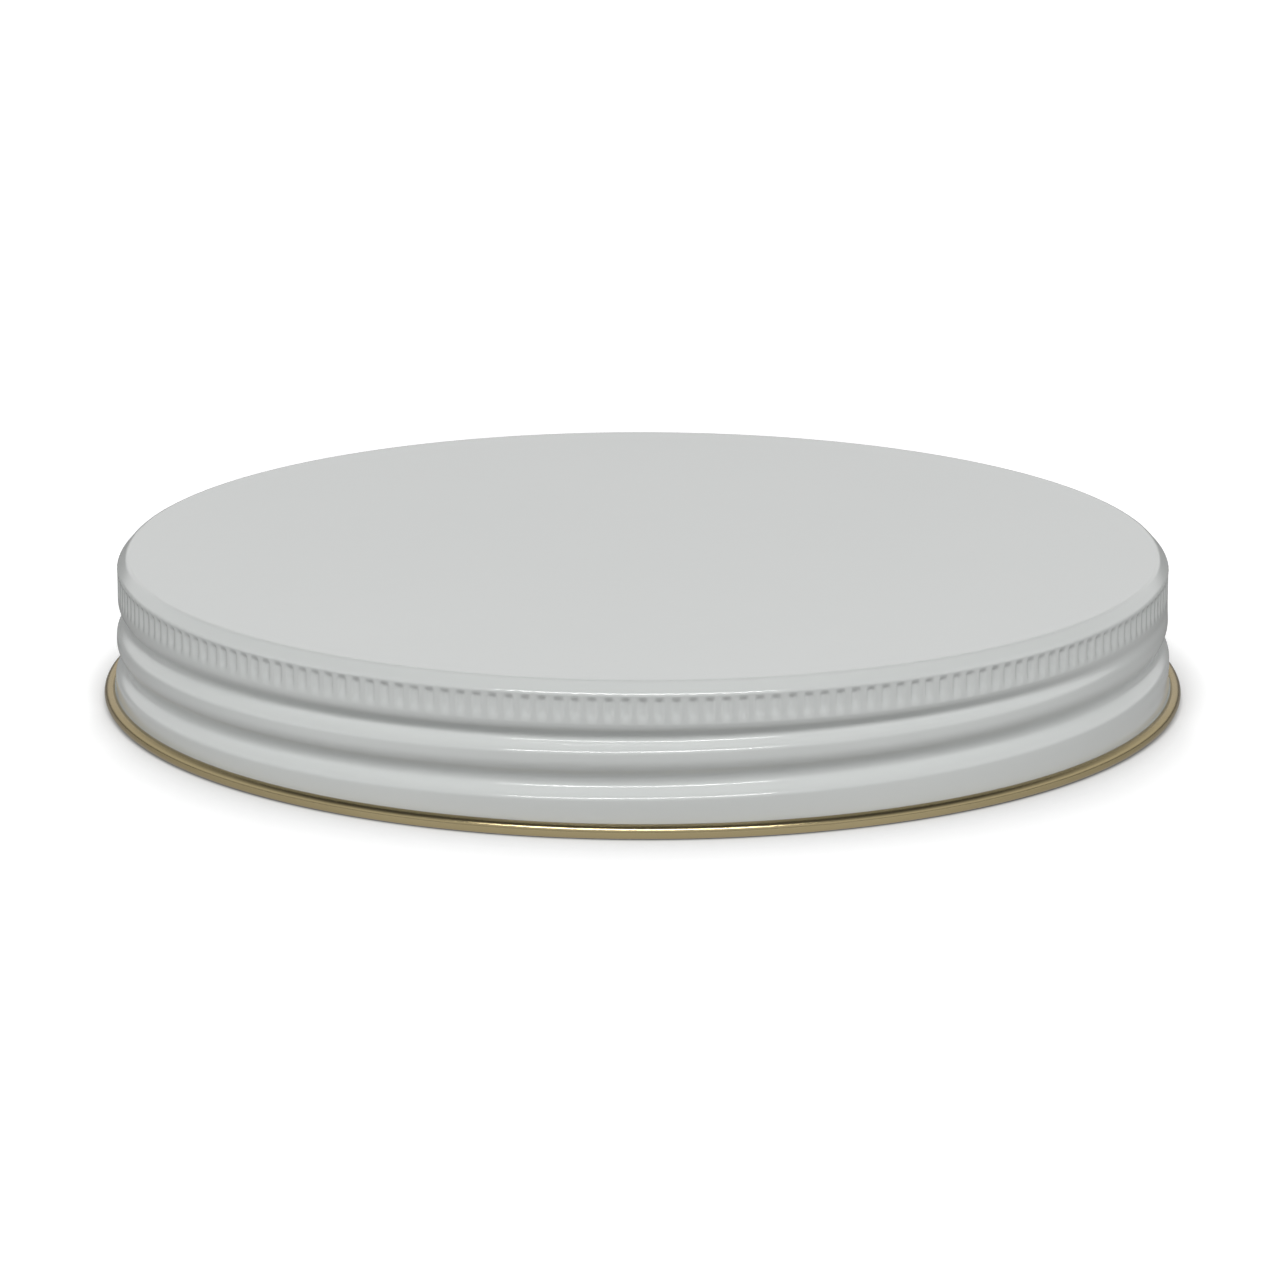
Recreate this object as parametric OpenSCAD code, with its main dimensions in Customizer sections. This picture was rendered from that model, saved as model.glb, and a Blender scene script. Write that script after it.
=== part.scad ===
// Screw lid of coated tinplate for a wide jar: one pressed shell and the sealing ring inside it.
// Millimetres, +Z up, origin at the centre of the plane that the rolled edge stands on.

/* [Shell] */
// Outside diameter of the knurled band
band_d = 121.5; // [80:0.5:140]
// Height from the foot of the rolled edge to the top of the panel
lid_h = 16.9; // [16.5:0.1:22]
// Thickness of the coated sheet
sheet_t = 0.25; // [0.2:0.01:0.35]
// Outside radius of the shoulder between panel and band
shoulder_r = 1.4; // [1:0.1:2.5]
// How much wider in radius the skirt is than the band
skirt_flare = 0.4; // [0.1:0.05:0.6]

/* [Knurled band] */
// Number of pressed flutes round the band
flute_count = 212; // [120:1:220]
// Length of a flute, measured down the band
flute_h = 2.6; // [2:0.1:3.4]
// Width of a flute at the surface
flute_w = 1.15; // [0.8:0.05:1.25]
// Depth of a flute below the surface
flute_depth = 0.24; // [0.15:0.01:0.35]

/* [Thread] */
// Rise of the thread in one turn
thread_pitch = 5.08; // [4:0.01:5.3]
// Depth of the rolled groove below the skirt
thread_depth = 1.2; // [0.6:0.05:1.5]
// Height of the groove's long upper flank, from its deepest line up to the crest
thread_over = 2.9; // [2.4:0.1:3.2]
// Height of the groove's short lower flank, from its deepest line down to the crest
thread_under = 1.8; // [1.5:0.1:2.1]
// Height of the groove's deepest line at the front, on -Y
thread_z = 5.5; // [5.1:0.1:6.2]
// Angle from the front at which the groove starts to form, low on the skirt
thread_from = -290; // [-320:5:-260]
// Angle from the front at which the groove has run out, under the band
thread_to = 450; // [400:5:480]
// Angle over which the groove forms, close above the rolled edge
thread_form = 110; // [60:5:140]
// Angle over which the groove fades out
thread_fade = 60; // [30:5:90]

/* [Rolled edge] */
// Outside diameter of the rolled edge's own section
curl_d = 1.6; // [1.3:0.05:2]
// Angle through which the edge is rolled
curl_turn = 300; // [270:5:305]

/* [Sealing ring] */
// Radial width of the sealing ring
seal_w = 5.6; // [3:0.1:9]
// Thickness of the sealing ring
seal_t = 1; // [0.6:0.1:1.6]
// Radius of the sealing ring's two lower edges
seal_edge = 0.45; // [0.2:0.05:0.5]
// Distance from the sealing ring to where the shoulder starts to curve
seal_gap = 0.12; // [0.05:0.01:0.5]

/* [Hidden] */

coat = [0.82, 0.83, 0.82];
compound = [0.9, 0.89, 0.85];

band_r = band_d / 2;
skirt_r = band_r + skirt_flare;
panel_r = band_r - shoulder_r;
panel_z = lid_h - sheet_t;
shoulder_z = lid_h - shoulder_r;

// The rolled edge turns outwards, so the sheet's inner face becomes its outside
curl_r = skirt_r - sheet_t + curl_d / 2;
curl_z = curl_d / 2;

// The band holds the flutes with one sheet's thickness over and under them
band_top = shoulder_z;
band_bottom = shoulder_z - flute_h - 2 * sheet_t;
flute_r = (flute_w * flute_w / 4 + flute_depth * flute_depth) / (2 * flute_depth);
flute_axis = band_r - flute_depth + flute_r;

// The threaded stretch of the skirt lies between two short plain walls, over the rolled edge
// and under the band, and rolling draws it in a little from them
plain_h = 0.35;
thread_bottom = curl_d + plain_h;
thread_top = band_bottom - plain_h / 2;
drawn_in = 0.06;
foot_blend = 0.9;
neck_blend = 1.6;
thread_columns = 72;
thread_rows = 22;
slope_step = 0.01;

// How far a value has gone from one edge to the other, with soft ends
function eased(a, b, x) =
    let (t = min(max((x - a) / (b - a), 0), 1)) t * t * (3 - 2 * t);

// Depth of one turn of the groove at an angle from the front and a height
function turn_depth(angle, z) =
    let (
        off = z - thread_z - thread_pitch * angle / 360,
        flank = off > 0 ? thread_over : thread_under,
        run_in = eased(thread_from, thread_from + thread_form, angle),
        run_out = 1 - eased(thread_to - thread_fade, thread_to, angle)
    )
    abs(off) > flank ? 0 : run_in * run_out * (1 + cos(180 * off / flank)) / 2;

// Outside radius of the skirt: a slight flare, less the groove's turns, upright at both ends
function skirt_outside(angle, z) =
    let (
        flare = skirt_r - drawn_in - skirt_flare * eased(thread_bottom, thread_top, z),
        ends = eased(thread_bottom, thread_bottom + foot_blend, z)
            * (1 - eased(thread_top - neck_blend, thread_top, z)),
        turns = [for (k = [-1:1]) turn_depth(angle + 360 * k, z)]
    )
    flare - thread_depth * ends * max(turns);

// Inside radius: the sheet keeps its thickness where the wall leans
function skirt_inside(angle, z) =
    let (
        above = skirt_outside(angle, min(z + slope_step, thread_top)),
        below = skirt_outside(angle, max(z - slope_step, thread_bottom)),
        slope = (above - below) / (2 * slope_step)
    )
    skirt_outside(angle, z) - sheet_t * sqrt(1 + slope * slope);

// One point of the skirt, with the angle counted from the front towards +X
function skirt_point(r, angle, z) = [r * sin(angle), -r * cos(angle), z];

// Skirt with the rolled thread: an outer and an inner grid, joined at both rims
module threaded_skirt() {
    cols = thread_columns;
    rows = thread_rows;
    step = (thread_top - thread_bottom) / rows;
    outer = [for (i = [0:rows], j = [0:cols - 1])
        let (z = thread_bottom + i * step, a = 360 * j / cols)
        skirt_point(skirt_outside(a, z), a, z)];
    inner = [for (i = [0:rows], j = [0:cols - 1])
        let (z = thread_bottom + i * step, a = 360 * j / cols)
        skirt_point(skirt_inside(a, z), a, z)];
    in0 = (rows + 1) * cols;
    last = rows * cols;
    outer_faces = [for (i = [0:rows - 1], j = [0:cols - 1], half = [0, 1])
        let (a = i * cols + j, b = i * cols + (j + 1) % cols)
        half == 0 ? [a, a + cols, b + cols] : [a, b + cols, b]];
    inner_faces = [for (i = [0:rows - 1], j = [0:cols - 1], half = [0, 1])
        let (a = in0 + i * cols + j, b = in0 + i * cols + (j + 1) % cols)
        half == 0 ? [a, b + cols, a + cols] : [a, b, b + cols]];
    rims = [for (j = [0:cols - 1], part = [0:3])
        let (a = j, b = (j + 1) % cols)
        part == 0 ? [a, b, in0 + b]
        : part == 1 ? [a, in0 + b, in0 + a]
        : part == 2 ? [last + a, in0 + last + b, last + b]
        : [last + a, in0 + last + a, in0 + last + b]];
    polyhedron(points = concat(outer, inner), faces = concat(outer_faces, inner_faces, rims));
}

// Panel and shoulder
module crown() {
    rotate_extrude($fn = 180) {
        translate([0, panel_z]) square([panel_r, sheet_t]);
        translate([panel_r, shoulder_z]) intersection() {
            difference() {
                circle(shoulder_r);
                circle(shoulder_r - sheet_t);
            }
            square(shoulder_r);
        }
    }
}

// Where the flutes are, as circles round the band
module flute_circles(r) {
    for (i = [0:flute_count - 1])
        rotate(360 * i / flute_count) translate([flute_axis, 0]) circle(r, $fn = 24);
}

// Knurled band: each flute is a pocket outside and a bump inside, one sheet thick all round
module knurled_band() {
    difference() {
        translate([0, 0, band_bottom]) linear_extrude(band_top - band_bottom) difference() {
            circle(band_r, $fn = 360);
            difference() {
                circle(band_r - sheet_t, $fn = 360);
                flute_circles(flute_r + sheet_t);
            }
        }
        for (i = [0:flute_count - 1])
            rotate(360 * i / flute_count) translate([flute_axis, 0, band_bottom + sheet_t])
                cylinder(r = flute_r, h = flute_h, $fn = 24);
    }
}

// Rolled edge with the short upright wall above it
module rolled_edge() {
    rotate_extrude($fn = 180) {
        translate([curl_r, curl_z]) difference() {
            circle(curl_d / 2);
            circle(curl_d / 2 - sheet_t);
            polygon([[0, 0], for (a = [180, curl_turn / 2, curl_turn - 180])
                2 * curl_d * [cos(a), sin(a)]]);
        }
        translate([skirt_r - sheet_t, curl_z]) square([sheet_t, thread_bottom - curl_z]);
    }
}

// Short plain wall between the thread and the flutes
module neck_wall() {
    rotate_extrude($fn = 180)
        translate([band_r - sheet_t, thread_top]) square([sheet_t, band_bottom - thread_top]);
}

module shell() {
    color(coat) union() {
        crown();
        knurled_band();
        neck_wall();
        threaded_skirt();
        rolled_edge();
    }
}

// Sealing ring: flat against the panel, with round lower edges where the jar's rim presses
module sealing_ring() {
    color(compound) rotate_extrude($fn = 180)
        translate([panel_r - seal_gap - seal_w, panel_z - seal_t]) {
            translate([0, seal_edge]) square([seal_w, seal_t - seal_edge]);
            translate([seal_edge, 0]) square([seal_w - 2 * seal_edge, seal_edge]);
            for (x = [seal_edge, seal_w - seal_edge]) translate([x, seal_edge]) circle(seal_edge);
        }
}

shell();
sealing_ring();
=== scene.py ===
import math

import bpy
from mathutils import Matrix, Vector


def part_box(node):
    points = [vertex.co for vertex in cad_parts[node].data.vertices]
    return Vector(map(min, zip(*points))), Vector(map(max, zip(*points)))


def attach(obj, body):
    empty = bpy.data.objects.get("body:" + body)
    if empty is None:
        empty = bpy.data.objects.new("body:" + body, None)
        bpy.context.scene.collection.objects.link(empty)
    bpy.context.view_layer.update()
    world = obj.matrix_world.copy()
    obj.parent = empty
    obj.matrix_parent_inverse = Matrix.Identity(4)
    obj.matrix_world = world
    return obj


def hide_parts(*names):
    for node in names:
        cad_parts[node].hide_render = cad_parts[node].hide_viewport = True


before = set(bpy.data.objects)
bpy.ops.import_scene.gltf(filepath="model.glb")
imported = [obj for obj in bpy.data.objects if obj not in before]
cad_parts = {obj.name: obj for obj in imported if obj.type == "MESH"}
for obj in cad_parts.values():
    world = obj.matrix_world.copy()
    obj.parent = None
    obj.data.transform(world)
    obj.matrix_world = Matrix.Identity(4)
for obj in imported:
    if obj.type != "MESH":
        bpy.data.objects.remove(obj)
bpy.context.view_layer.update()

# Shell. One blank of tinplate 0.25 mm thick, drawn to a shallow cup, knurled, thread-rolled, and its
# edge curled outwards. White enamel outside; inside it is lacquered gold, and the curl shows that face.
MM = 0.001
SHEET = 0.25 * MM
BAND_R = 60.75 * MM
SKIRT_R = 61.15 * MM
LID_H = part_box("shell")[1].z
SHOULDER_IN, SHOULDER_DOWN = 1.45 * MM, 1.5 * MM
UPPER_BEND, LOWER_BEND = 0.8 * MM, 0.7 * MM
SHOULDER_Z = LID_H - SHOULDER_DOWN
PANEL_R = BAND_R - SHOULDER_IN

FLUTES = 212
FLUTE_W = 1.24 * MM
FLUTE_DEPTH = 0.28 * MM
FLUTE_TOP = 15.36 * MM
FLUTE_FOOT = 12.3 * MM
LIP_OUT, LIP_HALF = 0.035 * MM, 0.2 * MM
BAND_FOOT = 12.55 * MM

PITCH = 5.08 * MM
GROOVE_DEPTH = 1.12 * MM
GROOVE_OVER, GROOVE_UNDER = 3.0 * MM, 1.62 * MM
GROOVE_Z = 5.6 * MM
GROOVE_FROM, GROOVE_FORMED = -320, -230
GROOVE_FADES, GROOVE_TO = 390, 450
FOOT_BLEND, NECK_BLEND = 2.8 * MM, 2.5 * MM

CURL_D = 1.6 * MM
CURL_TURN = 300
CURL_R = SKIRT_R - SHEET + CURL_D / 2
CURL_Z = CURL_D / 2
SKIRT_FOOT = CURL_D + 0.35 * MM


def eased(a, b, x):
    """How far x has gone from a to b, with soft ends."""
    t = min(max((x - a) / (b - a), 0), 1)
    return t * t * (3 - 2 * t)


# Columns of the sheet, eight to a flute and closer at its flanks, as angles from the front towards +X
FLUTE_STEPS = [-0.5, -0.355, -0.275, -0.165, 0, 0.165, 0.275, 0.355]
COLUMNS = [(k + step) * 2 * math.pi / FLUTES for k in range(FLUTES) for step in FLUTE_STEPS]
ACROSS = [abs(step) * 2 * math.pi * BAND_R / FLUTES for _ in range(FLUTES) for step in FLUTE_STEPS]


def groove(angle, z):
    """Depth of the rolled thread at an angle from the front and a height."""
    deep = 0
    for turn in (-1, 0, 1):
        a = math.degrees(angle) + 360 * turn
        off = z - GROOVE_Z - PITCH * a / 360
        flank = GROOVE_OVER if off > 0 else GROOVE_UNDER
        if abs(off) < flank:
            run = eased(GROOVE_FROM, GROOVE_FORMED, a) * (1 - eased(GROOVE_FADES, GROOVE_TO, a))
            rolled = (1 + math.cos(math.pi * off / flank)) / 2
            deep = max(deep, run * rolled ** (1.35 if off > 0 else 1))
    ends = eased(SKIRT_FOOT, SKIRT_FOOT + FOOT_BLEND, z) * (1 - eased(BAND_FOOT - NECK_BLEND, BAND_FOOT, z))
    return GROOVE_DEPTH * deep * ends


def wall_r(angle, z):
    """Outside radius of the skirt."""
    return SKIRT_R - (SKIRT_R - BAND_R) * eased(SKIRT_FOOT, BAND_FOOT, z) - groove(angle, z)


def lining_r(angle, z):
    """Inside radius of the skirt: the sheet keeps its thickness where the wall leans."""
    step = 0.01 * MM
    slope = (wall_r(angle, z + step) - wall_r(angle, z - step)) / (2 * step)
    return wall_r(angle, z) - SHEET * math.sqrt(1 + slope * slope)


def flute(across, z):
    """Depth of a flute at a distance across it and a height: a steep top under a raised lip, a long foot."""
    side = 1 - eased(0.2 * FLUTE_W, 0.52 * FLUTE_W, across)
    top = 1 - eased(FLUTE_TOP - 0.65 * MM, FLUTE_TOP, z)
    foot = eased(FLUTE_FOOT, FLUTE_FOOT + 1.5 * MM, z)
    lip = (0.4 + 0.6 * side) * math.exp(-(((z - FLUTE_TOP - 0.1 * MM) / LIP_HALF) ** 2))
    return FLUTE_DEPTH * side * top * foot - LIP_OUT * lip


class Sheet:
    """A closed skin made of rings of points, each ring joined to the one before it."""

    def __init__(self):
        self.points, self.faces, self.sides = [], [], []
        self.last = None

    def point(self, r, angle, z):
        self.points.append((r * math.sin(angle), -r * math.cos(angle), z))
        return len(self.points) - 1

    def ring(self, count, radius, height, side):
        """One ring of count columns; radius and height are numbers or functions of a column's number."""
        every = len(COLUMNS) // count
        ids = []
        for c in range(0, len(COLUMNS), every):
            r = radius(c) if callable(radius) else radius
            z = height(c) if callable(height) else height
            ids.append(self.point(r, COLUMNS[c], z))
        if self.last:
            self.join(self.last, ids, side)
        self.last = ids

    def join(self, a, b, side):
        """Faces between ring a and ring b, where one count is a multiple of the other."""
        n, m = len(a), len(b)
        for i in range(min(n, m)):
            if n == m:
                new = [(a[i], b[i], b[(i + 1) % m], a[(i + 1) % n])]
            elif n < m:
                k = m // n
                fan = [b[(i * k + j) % m] for j in range(k + 1)]
                new = [(a[i], fan[j], fan[j + 1]) for j in range(k // 2)]
                new.append((a[i], fan[k // 2], a[(i + 1) % n]))
                new += [(a[(i + 1) % n], fan[j], fan[j + 1]) for j in range(k // 2, k)]
            else:
                k = n // m
                fan = [a[(i * k + j) % n] for j in range(k + 1)]
                new = [(fan[j], b[i], fan[j + 1]) for j in range(k // 2)]
                new.append((b[i], b[(i + 1) % m], fan[k // 2]))
                new += [(fan[j], b[(i + 1) % m], fan[j + 1]) for j in range(k // 2, k)]
            self.faces += new
            self.sides += [side] * len(new)

    def cap(self, z, side, first):
        """Closes the sheet at the axis, before the first ring or after the last."""
        tip = self.point(0, 0, z)
        ring = self.last
        n = len(ring)
        for i in range(n):
            a, b = ring[i], ring[(i + 1) % n]
            self.faces.append((tip, a, b) if first else (tip, b, a))
            self.sides.append(side)


def spread(a, b, count):
    """count even steps from a to b, leaving out a."""
    return [a + (b - a) * (i + 1) / count for i in range(count)]


WHITE, GOLD = 0, 1
sheet = Sheet()

# Panel from its centre
sheet.ring(53, 0.2 * PANEL_R, LID_H, WHITE)
sheet.cap(LID_H, WHITE, True)
for count, share in ((106, 0.45), (106, 0.7), (212, 0.88), (212, 0.97), (424, 1)):
    sheet.ring(count, share * PANEL_R, LID_H, WHITE)


def shoulder(inset):
    """The shoulder's section from panel to band: two bends with a flat slope between them."""
    run, drop = SHOULDER_IN - LOWER_BEND, SHOULDER_DOWN - UPPER_BEND
    slope = math.atan2(run, drop) + math.asin((LOWER_BEND - UPPER_BEND) / math.hypot(run, drop))
    line = []
    for bend in spread(90, math.degrees(slope), 6):
        turn, r = math.radians(bend), UPPER_BEND - inset
        line.append((PANEL_R + r * math.cos(turn), LID_H - UPPER_BEND + r * math.sin(turn)))
    for bend in [math.degrees(slope)] + spread(math.degrees(slope), 0, 9):
        turn, r = math.radians(bend), LOWER_BEND - inset
        line.append((BAND_R - LOWER_BEND + r * math.cos(turn), SHOULDER_Z + r * math.sin(turn)))
    return line


for ring_r, ring_z in shoulder(0):
    if ring_z > FLUTE_TOP + 0.75 * MM:
        sheet.ring(424, ring_r, ring_z, WHITE)
    else:
        sheet.ring(1696, lambda c: ring_r - flute(ACROSS[c], ring_z), ring_z, WHITE)

# Knurled band, with the rows closer at the ends of the flutes
for ring_z in [z * MM for z in (15.15, 15.0, 14.85, 14.7, 14.55, 13.8, 13.6, 13.35, 13.1, 12.85, 12.6, 12.4)]:
    sheet.ring(1696, lambda c: wall_r(COLUMNS[c], ring_z) - flute(ACROSS[c], ring_z), ring_z, WHITE)

# Skirt with the rolled thread, down to the curl
for ring_z in [12.3 * MM] + spread(12.2 * MM, SKIRT_FOOT, 50):
    sheet.ring(424, lambda c: wall_r(COLUMNS[c], ring_z), ring_z, WHITE)
for ring_z in spread(SKIRT_FOOT, CURL_Z, 4):
    sheet.ring(424, SKIRT_R, ring_z, WHITE)

# Curl: its enamelled face is hidden inside the roll, and its lacquered face is outside
for bend in spread(180, 180 + CURL_TURN, 12):
    turn, roll = math.radians(bend), CURL_D / 2 - SHEET
    sheet.ring(212, CURL_R + roll * math.cos(turn), CURL_Z + roll * math.sin(turn), WHITE)
edge = math.radians(180 + CURL_TURN)
sheet.ring(424, CURL_R + CURL_D / 2 * math.cos(edge), CURL_Z + CURL_D / 2 * math.sin(edge), GOLD)
for bend in spread(180 + CURL_TURN, 180, 20):
    turn = math.radians(bend)
    sheet.ring(424, CURL_R + CURL_D / 2 * math.cos(turn), CURL_Z + CURL_D / 2 * math.sin(turn), GOLD)

# Inside of the skirt, the flutes seen as bumps, and the underside of the panel
for ring_z in spread(CURL_Z, SKIRT_FOOT, 3):
    sheet.ring(212, SKIRT_R - SHEET, ring_z, GOLD)
for ring_z in spread(SKIRT_FOOT, 12.5 * MM, 28):
    sheet.ring(212, lambda c: lining_r(COLUMNS[c], ring_z), ring_z, GOLD)
for ring_z in [z * MM for z in (12.7, 12.9, 13.1, 13.4, 13.8, 14.5, 14.8, 15.0, 15.2)]:
    sheet.ring(848, lambda c: wall_r(COLUMNS[c], ring_z) - SHEET - flute(ACROSS[c], ring_z), ring_z, GOLD)
for ring_r, ring_z in reversed(shoulder(SHEET)):
    sheet.ring(424, ring_r, ring_z, GOLD)
for count, share in ((212, 0.97), (212, 0.88), (106, 0.7), (106, 0.45), (53, 0.2)):
    sheet.ring(count, share * PANEL_R, LID_H - SHEET, GOLD)
sheet.cap(LID_H - SHEET, GOLD, False)

shell_mesh = bpy.data.meshes.new("shell_sheet")
shell_mesh.from_pydata(sheet.points, [], sheet.faces)
shell_mesh.shade_smooth()
shell_mesh.set_sharp_from_angle(angle=math.radians(50))
shell = bpy.data.objects.new("shell_sheet", shell_mesh)
bpy.context.collection.objects.link(shell)


def material(name):
    """A new node material, with its nodes, its links and its Principled shader."""
    made = bpy.data.materials.new(name)
    made.use_nodes = True
    tree = made.node_tree
    return made, tree.nodes, tree.links, tree.nodes["Principled BSDF"]


def group_with(name, inputs, outputs):
    """A new shader node group with named number, colour or vector sockets."""
    tree = bpy.data.node_groups.new(name, "ShaderNodeTree")
    for label, kind, value in inputs:
        socket = tree.interface.new_socket(name=label, in_out="INPUT", socket_type=kind)
        if value is not None:
            socket.default_value = value
    for label, kind in outputs:
        tree.interface.new_socket(name=label, in_out="OUTPUT", socket_type=kind)
    return tree, tree.nodes.new("NodeGroupInput"), tree.nodes.new("NodeGroupOutput")


# Lacquered metal: the fine waves of a stoved coating, as a normal, and its cloudy tone, as a value
coating, c_in, c_out = group_with(
    "stoved_coating",
    [("Wave Size", "NodeSocketFloat", 900.0), ("Wave Height", "NodeSocketFloat", 0.02)],
    [("Normal", "NodeSocketVector"), ("Tone", "NodeSocketFloat")],
)
place = coating.nodes.new("ShaderNodeTexCoord")
waves = coating.nodes.new("ShaderNodeTexNoise")
waves.inputs["Detail"].default_value = 2
coating.links.new(place.outputs["Object"], waves.inputs["Vector"])
coating.links.new(c_in.outputs["Wave Size"], waves.inputs["Scale"])
raised = coating.nodes.new("ShaderNodeBump")
raised.inputs["Distance"].default_value = 0.0005
coating.links.new(c_in.outputs["Wave Height"], raised.inputs["Strength"])
coating.links.new(waves.outputs["Fac"], raised.inputs["Height"])
clouds = coating.nodes.new("ShaderNodeTexNoise")
clouds.inputs["Scale"].default_value = 45
clouds.inputs["Detail"].default_value = 3
coating.links.new(place.outputs["Object"], clouds.inputs["Vector"])
coating.links.new(raised.outputs["Normal"], c_out.inputs["Normal"])
coating.links.new(clouds.outputs["Fac"], c_out.inputs["Tone"])

# White enamel: a gloss coat of very slightly cool white, a shade greyer where it is thin
enamel, nodes, links, shader = material("white_enamel")
coat = nodes.new("ShaderNodeGroup")
coat.node_tree = coating
coat.inputs["Wave Size"].default_value = 700
coat.inputs["Wave Height"].default_value = 0.006
tone = nodes.new("ShaderNodeMix")
tone.data_type = "RGBA"
tone.inputs[6].default_value = (0.612, 0.632, 0.622, 1)
tone.inputs[7].default_value = (0.632, 0.650, 0.640, 1)
links.new(coat.outputs["Tone"], tone.inputs[0])
links.new(tone.outputs[2], shader.inputs["Base Color"])
links.new(coat.outputs["Normal"], shader.inputs["Normal"])
shader.inputs["Roughness"].default_value = 0.14
shader.inputs["IOR"].default_value = 1.5

# Gold lacquer: clear yellow lacquer over bright tin, so it shines as a metal does
lacquer, nodes, links, shader = material("gold_lacquer")
coat = nodes.new("ShaderNodeGroup")
coat.node_tree = coating
coat.inputs["Wave Size"].default_value = 500
coat.inputs["Wave Height"].default_value = 0.05
tone = nodes.new("ShaderNodeMix")
tone.data_type = "RGBA"
tone.inputs[6].default_value = (0.33, 0.27, 0.15, 1)
tone.inputs[7].default_value = (0.39, 0.325, 0.185, 1)
links.new(coat.outputs["Tone"], tone.inputs[0])
links.new(tone.outputs[2], shader.inputs["Base Color"])
links.new(coat.outputs["Normal"], shader.inputs["Normal"])
shader.inputs["Metallic"].default_value = 1
shader.inputs["Roughness"].default_value = 0.21
shader.inputs["Specular Tint"].default_value = (0.8, 0.76, 0.7, 1)

shell_mesh.materials.append(enamel)
shell_mesh.materials.append(lacquer)
shell_mesh.polygons.foreach_set("material_index", sheet.sides)
shell_mesh.update()
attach(shell, "root")
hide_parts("shell")

# Sealing ring. Soft compound, poured as a liquid into the panel's corner while the lid spins, and
# baked there; its free face is a low bead with a faintly uneven edge.
ring_lo, ring_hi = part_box("sealing_ring")
SEAL_R = ring_hi.x
SEAL_W = 5.6 * MM
SEAL_T = ring_hi.z - ring_lo.z
SEAL_EDGE = 0.45 * MM

seal = Sheet()
seal_rows = [(0, 0), (0, -SEAL_T + SEAL_EDGE)]
for bend in spread(180, 270, 5):
    turn = math.radians(bend)
    seal_rows.append((SEAL_EDGE + SEAL_EDGE * math.cos(turn), -SEAL_T + SEAL_EDGE + SEAL_EDGE * math.sin(turn)))
seal_rows += [(SEAL_W * share, -SEAL_T) for share in (0.3, 0.5, 0.7)]
for bend in spread(270, 360, 5):
    turn = math.radians(bend)
    seal_rows.append((SEAL_W - SEAL_EDGE + SEAL_EDGE * math.cos(turn), -SEAL_T + SEAL_EDGE + SEAL_EDGE * math.sin(turn)))
seal_rows += [(SEAL_W, 0), (SEAL_W * 0.5, 0)]


def flow(c, share):
    """How far the inner edge has run in or out at a column, for a row at that share of the width."""
    a = COLUMNS[c]
    wander = math.sin(3 * a + 0.6) + 0.6 * math.sin(7 * a + 2.1) + 0.4 * math.sin(16 * a)
    return 0.09 * MM * wander * (1 - share)


for out, up in reversed(seal_rows):
    seal.ring(212, lambda c: SEAL_R - SEAL_W + out + flow(c, out / SEAL_W), ring_hi.z + up, 0)
seal.join(seal.last, list(range(FLUTES)), 0)
seal_mesh = bpy.data.meshes.new("sealing_bead")
seal_mesh.from_pydata(seal.points, [], seal.faces)
seal_mesh.shade_smooth()
seal_mesh.set_sharp_from_angle(angle=math.radians(50))
bead = bpy.data.objects.new("sealing_bead", seal_mesh)
bpy.context.collection.objects.link(bead)

compound, nodes, links, shader = material("sealing_compound")
coat = nodes.new("ShaderNodeGroup")
coat.node_tree = coating
coat.inputs["Wave Size"].default_value = 350
coat.inputs["Wave Height"].default_value = 0.12
tone = nodes.new("ShaderNodeMix")
tone.data_type = "RGBA"
tone.inputs[6].default_value = (0.66, 0.64, 0.57, 1)
tone.inputs[7].default_value = (0.74, 0.72, 0.66, 1)
links.new(coat.outputs["Tone"], tone.inputs[0])
links.new(tone.outputs[2], shader.inputs["Base Color"])
links.new(coat.outputs["Normal"], shader.inputs["Normal"])
shader.inputs["Roughness"].default_value = 0.5
seal_mesh.materials.append(compound)
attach(bead, "root")
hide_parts("sealing_ring")

# Floor. A wide pale sweep under the lid, seen white by the camera; it throws back a paler share of the light.
# The lid's soft shadow on it is painted shade, and in the lid's gloss its glow is painted darker further back.
FLOOR_HALF = 6
floor_mesh = bpy.data.meshes.new("floor")
corners = [(-FLOOR_HALF, -FLOOR_HALF, 0), (FLOOR_HALF, -FLOOR_HALF, 0), (FLOOR_HALF, FLOOR_HALF, 0), (-FLOOR_HALF, FLOOR_HALF, 0)]
floor_mesh.from_pydata(corners, [], [(0, 1, 2, 3)])
floor = bpy.data.objects.new("floor", floor_mesh)
bpy.context.collection.objects.link(floor)

paper, nodes, links, shader = material("floor_paper")
nodes.remove(shader)
bounce = nodes.new("ShaderNodeBsdfDiffuse")
bounce.inputs["Color"].default_value = (0.25, 0.25, 0.25, 1)
# Painted shade: ambient occlusion darkens the floor's colour and glow close to the lid
painted_shade_ao = nodes.new("ShaderNodeAmbientOcclusion")
painted_shade_ao.samples = 16
shown = nodes.new("ShaderNodeBsdfDiffuse")
links.new(painted_shade_ao.outputs["Color"], shown.inputs["Color"])
glow = nodes.new("ShaderNodeEmission")
seen = nodes.new("ShaderNodeAddShader")
links.new(shown.outputs[0], seen.inputs[0])
links.new(glow.outputs[0], seen.inputs[1])


def seen_rays(nodes, links):
    """1 for the rays that should find the white surroundings: from the camera, and by gloss or glass."""
    path = nodes.new("ShaderNodeLightPath")
    total = path.outputs["Is Camera Ray"]
    for ray in ("Is Glossy Ray", "Is Transmission Ray"):
        add = nodes.new("ShaderNodeMath")
        add.operation = "MAXIMUM"
        links.new(total, add.inputs[0])
        links.new(path.outputs[ray], add.inputs[1])
        total = add.outputs[0]
    return total


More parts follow.
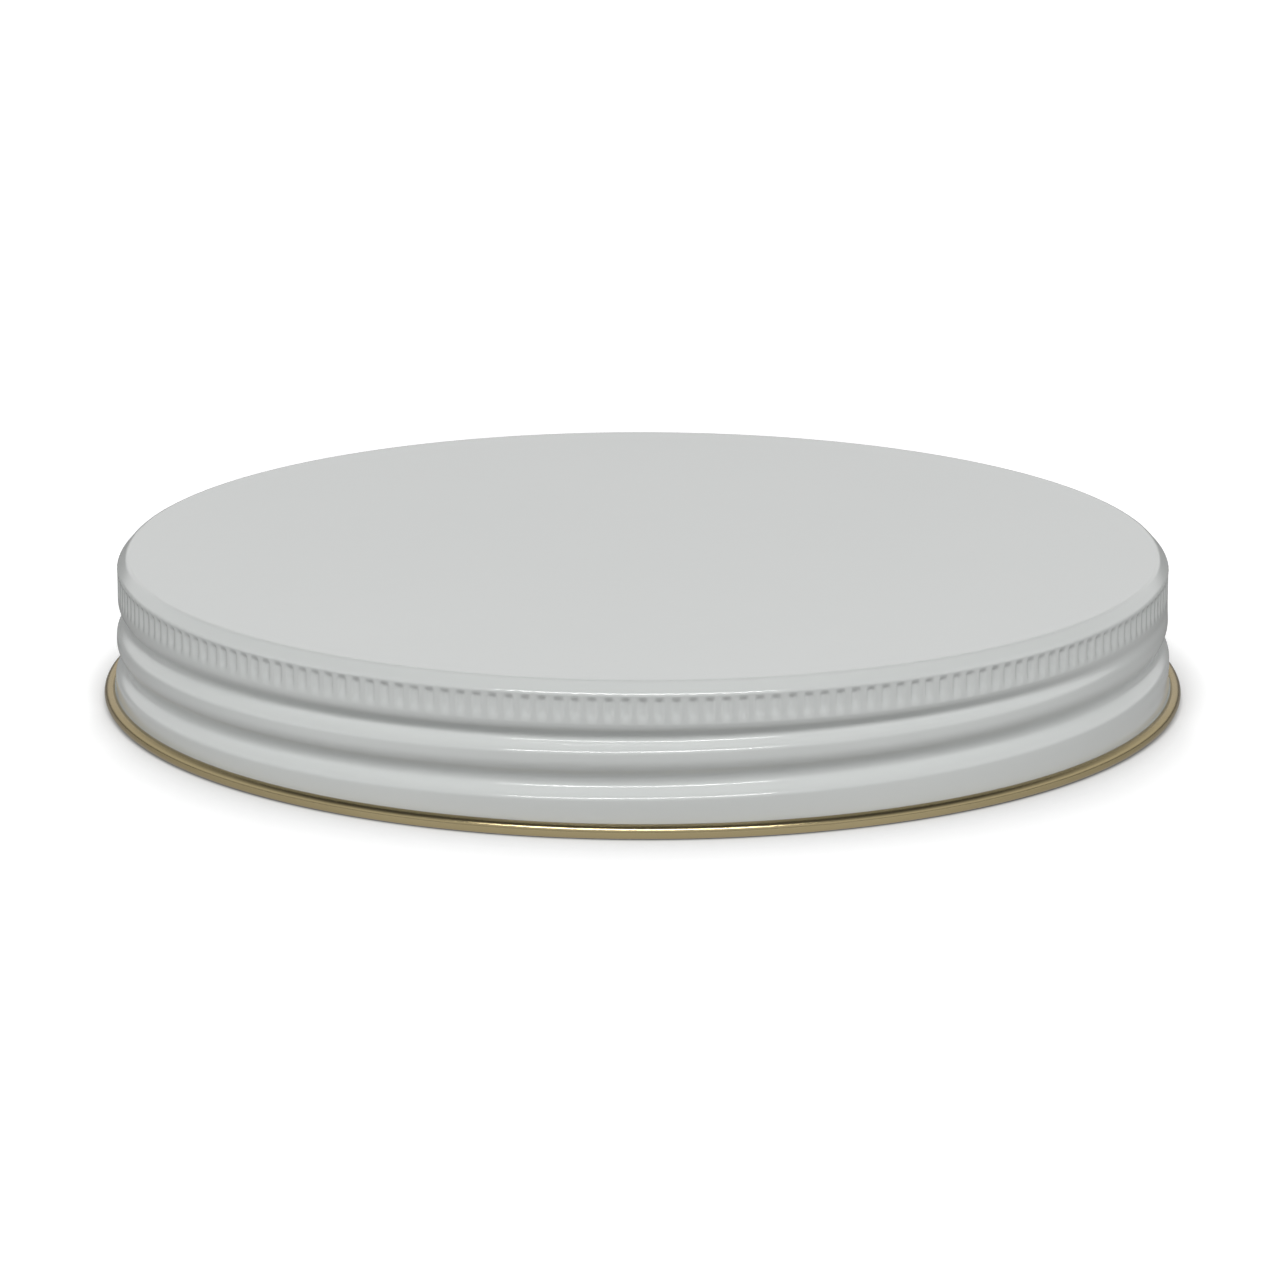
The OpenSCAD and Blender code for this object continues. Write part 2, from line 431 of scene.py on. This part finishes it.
spot = nodes.new("ShaderNodeTexCoord")
along = nodes.new("ShaderNodeSeparateXYZ")
links.new(spot.outputs["Object"], along.inputs[0])
path = nodes.new("ShaderNodeLightPath")
lift = nodes.new("ShaderNodeMapRange")
# Painted reflection: in the lid's gloss the floor's glow fades from the lid's front edge backwards
sweep = nodes.new("ShaderNodeMapRange")
sweep.inputs["From Min"].default_value = -0.06
sweep.inputs["From Max"].default_value = 0.02
sweep.inputs["To Min"].default_value = 0.75
sweep.inputs["To Max"].default_value = 0.1
links.new(along.outputs["Y"], sweep.inputs["Value"])
links.new(sweep.outputs[0], lift.inputs["To Min"])
pale = nodes.new("ShaderNodeMapRange")
pale.inputs["To Min"].default_value = 0.25
pale.inputs["To Max"].default_value = 0.8
links.new(path.outputs["Is Camera Ray"], pale.inputs["Value"])
links.new(pale.outputs[0], painted_shade_ao.inputs["Color"])
# The painted shadow reaches further in front of the lid than at its sides and back
painted_shade_reach = nodes.new("ShaderNodeMapRange")
painted_shade_reach.inputs["From Min"].default_value = -0.06
painted_shade_reach.inputs["From Max"].default_value = -0.01
painted_shade_reach.inputs["To Min"].default_value = 0.022
painted_shade_reach.inputs["To Max"].default_value = 0.007
links.new(along.outputs["Y"], painted_shade_reach.inputs["Value"])
links.new(painted_shade_reach.outputs[0], painted_shade_ao.inputs["Distance"])
shade = nodes.new("ShaderNodeMath")
shade.operation = "MULTIPLY"
far = nodes.new("ShaderNodeMapRange")
far.inputs["From Min"].default_value = 0.1
far.inputs["From Max"].default_value = 0.8
far.inputs["To Min"].default_value = 0.57
far.inputs["To Max"].default_value = 0.75
links.new(along.outputs["Y"], far.inputs["Value"])
links.new(far.outputs[0], shade.inputs[1])
links.new(painted_shade_ao.outputs["AO"], shade.inputs[0])
links.new(shade.outputs[0], lift.inputs["To Max"])
links.new(path.outputs["Is Camera Ray"], lift.inputs["Value"])
links.new(lift.outputs[0], glow.inputs["Strength"])
mix = nodes.new("ShaderNodeMixShader")
links.new(seen_rays(nodes, links), mix.inputs[0])
links.new(bounce.outputs[0], mix.inputs[1])
links.new(seen.outputs[0], mix.inputs[2])
links.new(mix.outputs[0], nodes["Material Output"].inputs["Surface"])
floor_mesh.materials.append(paper)

# Surroundings. White where they are seen, and a plain soft light on the lid from all round.
AMBIENT = 0.06
world = bpy.data.worlds.new("studio")
bpy.context.scene.world = world
world.use_nodes = True
nodes, links = world.node_tree.nodes, world.node_tree.links
nodes.clear()
soft = nodes.new("ShaderNodeBackground")
soft.inputs["Strength"].default_value = AMBIENT
white = nodes.new("ShaderNodeBackground")
white.inputs["Color"].default_value = (1, 1, 1, 1)
way = nodes.new("ShaderNodeTexCoord")
height = nodes.new("ShaderNodeSeparateXYZ")
links.new(way.outputs["Generated"], height.inputs[0])
ceiling = nodes.new("ShaderNodeMapRange")
ceiling.inputs["From Min"].default_value = 0.34
ceiling.inputs["From Max"].default_value = 0.77
ceiling.inputs["To Min"].default_value = 1
ceiling.inputs["To Max"].default_value = 0.12
links.new(height.outputs["Z"], ceiling.inputs["Value"])
direct = nodes.new("ShaderNodeLightPath")
dark = nodes.new("ShaderNodeMath")
dark.operation = "MAXIMUM"
dark.inputs[1].default_value = 0.2
links.new(direct.outputs["Is Camera Ray"], dark.inputs[0])
horizon = nodes.new("ShaderNodeMapRange")
horizon.inputs["From Min"].default_value = 0.06
horizon.inputs["From Max"].default_value = 0.16
links.new(height.outputs["Z"], horizon.inputs["Value"])
links.new(dark.outputs[0], horizon.inputs["To Min"])
links.new(ceiling.outputs[0], horizon.inputs["To Max"])
links.new(horizon.outputs[0], white.inputs["Strength"])
mix = nodes.new("ShaderNodeMixShader")
out = nodes.new("ShaderNodeOutputWorld")
links.new(seen_rays(nodes, links), mix.inputs[0])
links.new(soft.outputs[0], mix.inputs[1])
links.new(white.outputs[0], mix.inputs[2])
links.new(mix.outputs[0], out.inputs["Surface"])


def softbox(name, azimuth, height, away, width, tall, watts):
    """A soft lamp aimed at the lid, azimuth counted from the front towards +X, in degrees."""
    lamp = bpy.data.lights.new(name, "AREA")
    lamp.shape = "RECTANGLE"
    lamp.size, lamp.size_y, lamp.energy = width, tall, watts
    lamp_object = bpy.data.objects.new(name, lamp)
    bpy.context.collection.objects.link(lamp_object)
    a, e = math.radians(azimuth), math.radians(height)
    spot = Vector((math.sin(a) * math.cos(e), -math.cos(a) * math.cos(e), math.sin(e))) * away
    lamp_object.location = spot
    lamp_object.rotation_euler = (-spot).to_track_quat("-Z", "Y").to_euler()
    return lamp_object


# Lamps: a narrow one high in front, which draws the lines of light, a broad one round it, and one at
# each side and behind. Only the narrow one shows in the gloss
softbox("front_line", -1.5, 42, 0.9, 0.8, 0.1, 5.2)
softbox("front_soft", 0, 36, 1.3, 1.2, 0.7, 1.6).visible_glossy = False
for side, azimuth, watts in (("left_side", -85, 5.3), ("right_side", 85, 5.9)):
    fill = softbox(side, azimuth, 22, 1.3, 0.9, 0.7, watts)
    fill.visible_glossy = False
    fill.data.use_shadow = False
softbox("behind", 180, 20, 1.3, 1.2, 0.5, 3).visible_glossy = False

# Camera: a long lens at the photograph's height, 15 degrees above the lid
LENS = 168.75
SENSOR = 36
DISTANCE = 699.8 * MM
ELEVATION = 15.262
AIM_UP, AIM_SIDE, ROLL = 0.00777, -0.00045, 0.0746
camera_data = bpy.data.cameras.new("camera")
camera_data.lens = LENS
camera_data.sensor_width = SENSOR
camera_data.clip_start = 0.01
camera = bpy.data.objects.new("camera", camera_data)
bpy.context.collection.objects.link(camera)
rise = math.radians(ELEVATION)
camera.location = (0, -DISTANCE * math.cos(rise), DISTANCE * math.sin(rise))
ahead = -Vector(camera.location).normalized()
right = Vector((1, 0, 0))
up = right.cross(ahead)
ahead = (ahead + right * AIM_SIDE + up * AIM_UP).normalized()
right = ahead.cross(Vector((0, 0, 1))).normalized()
up = right.cross(ahead)
tilt = math.radians(ROLL)
right, up = right * math.cos(tilt) + up * math.sin(tilt), up * math.cos(tilt) - right * math.sin(tilt)
turn = [[right[i], up[i], -ahead[i]] for i in range(3)]
camera.rotation_euler = Matrix(turn).to_euler()
bpy.context.scene.camera = camera
bpy.context.scene.view_settings.view_transform = "Standard"
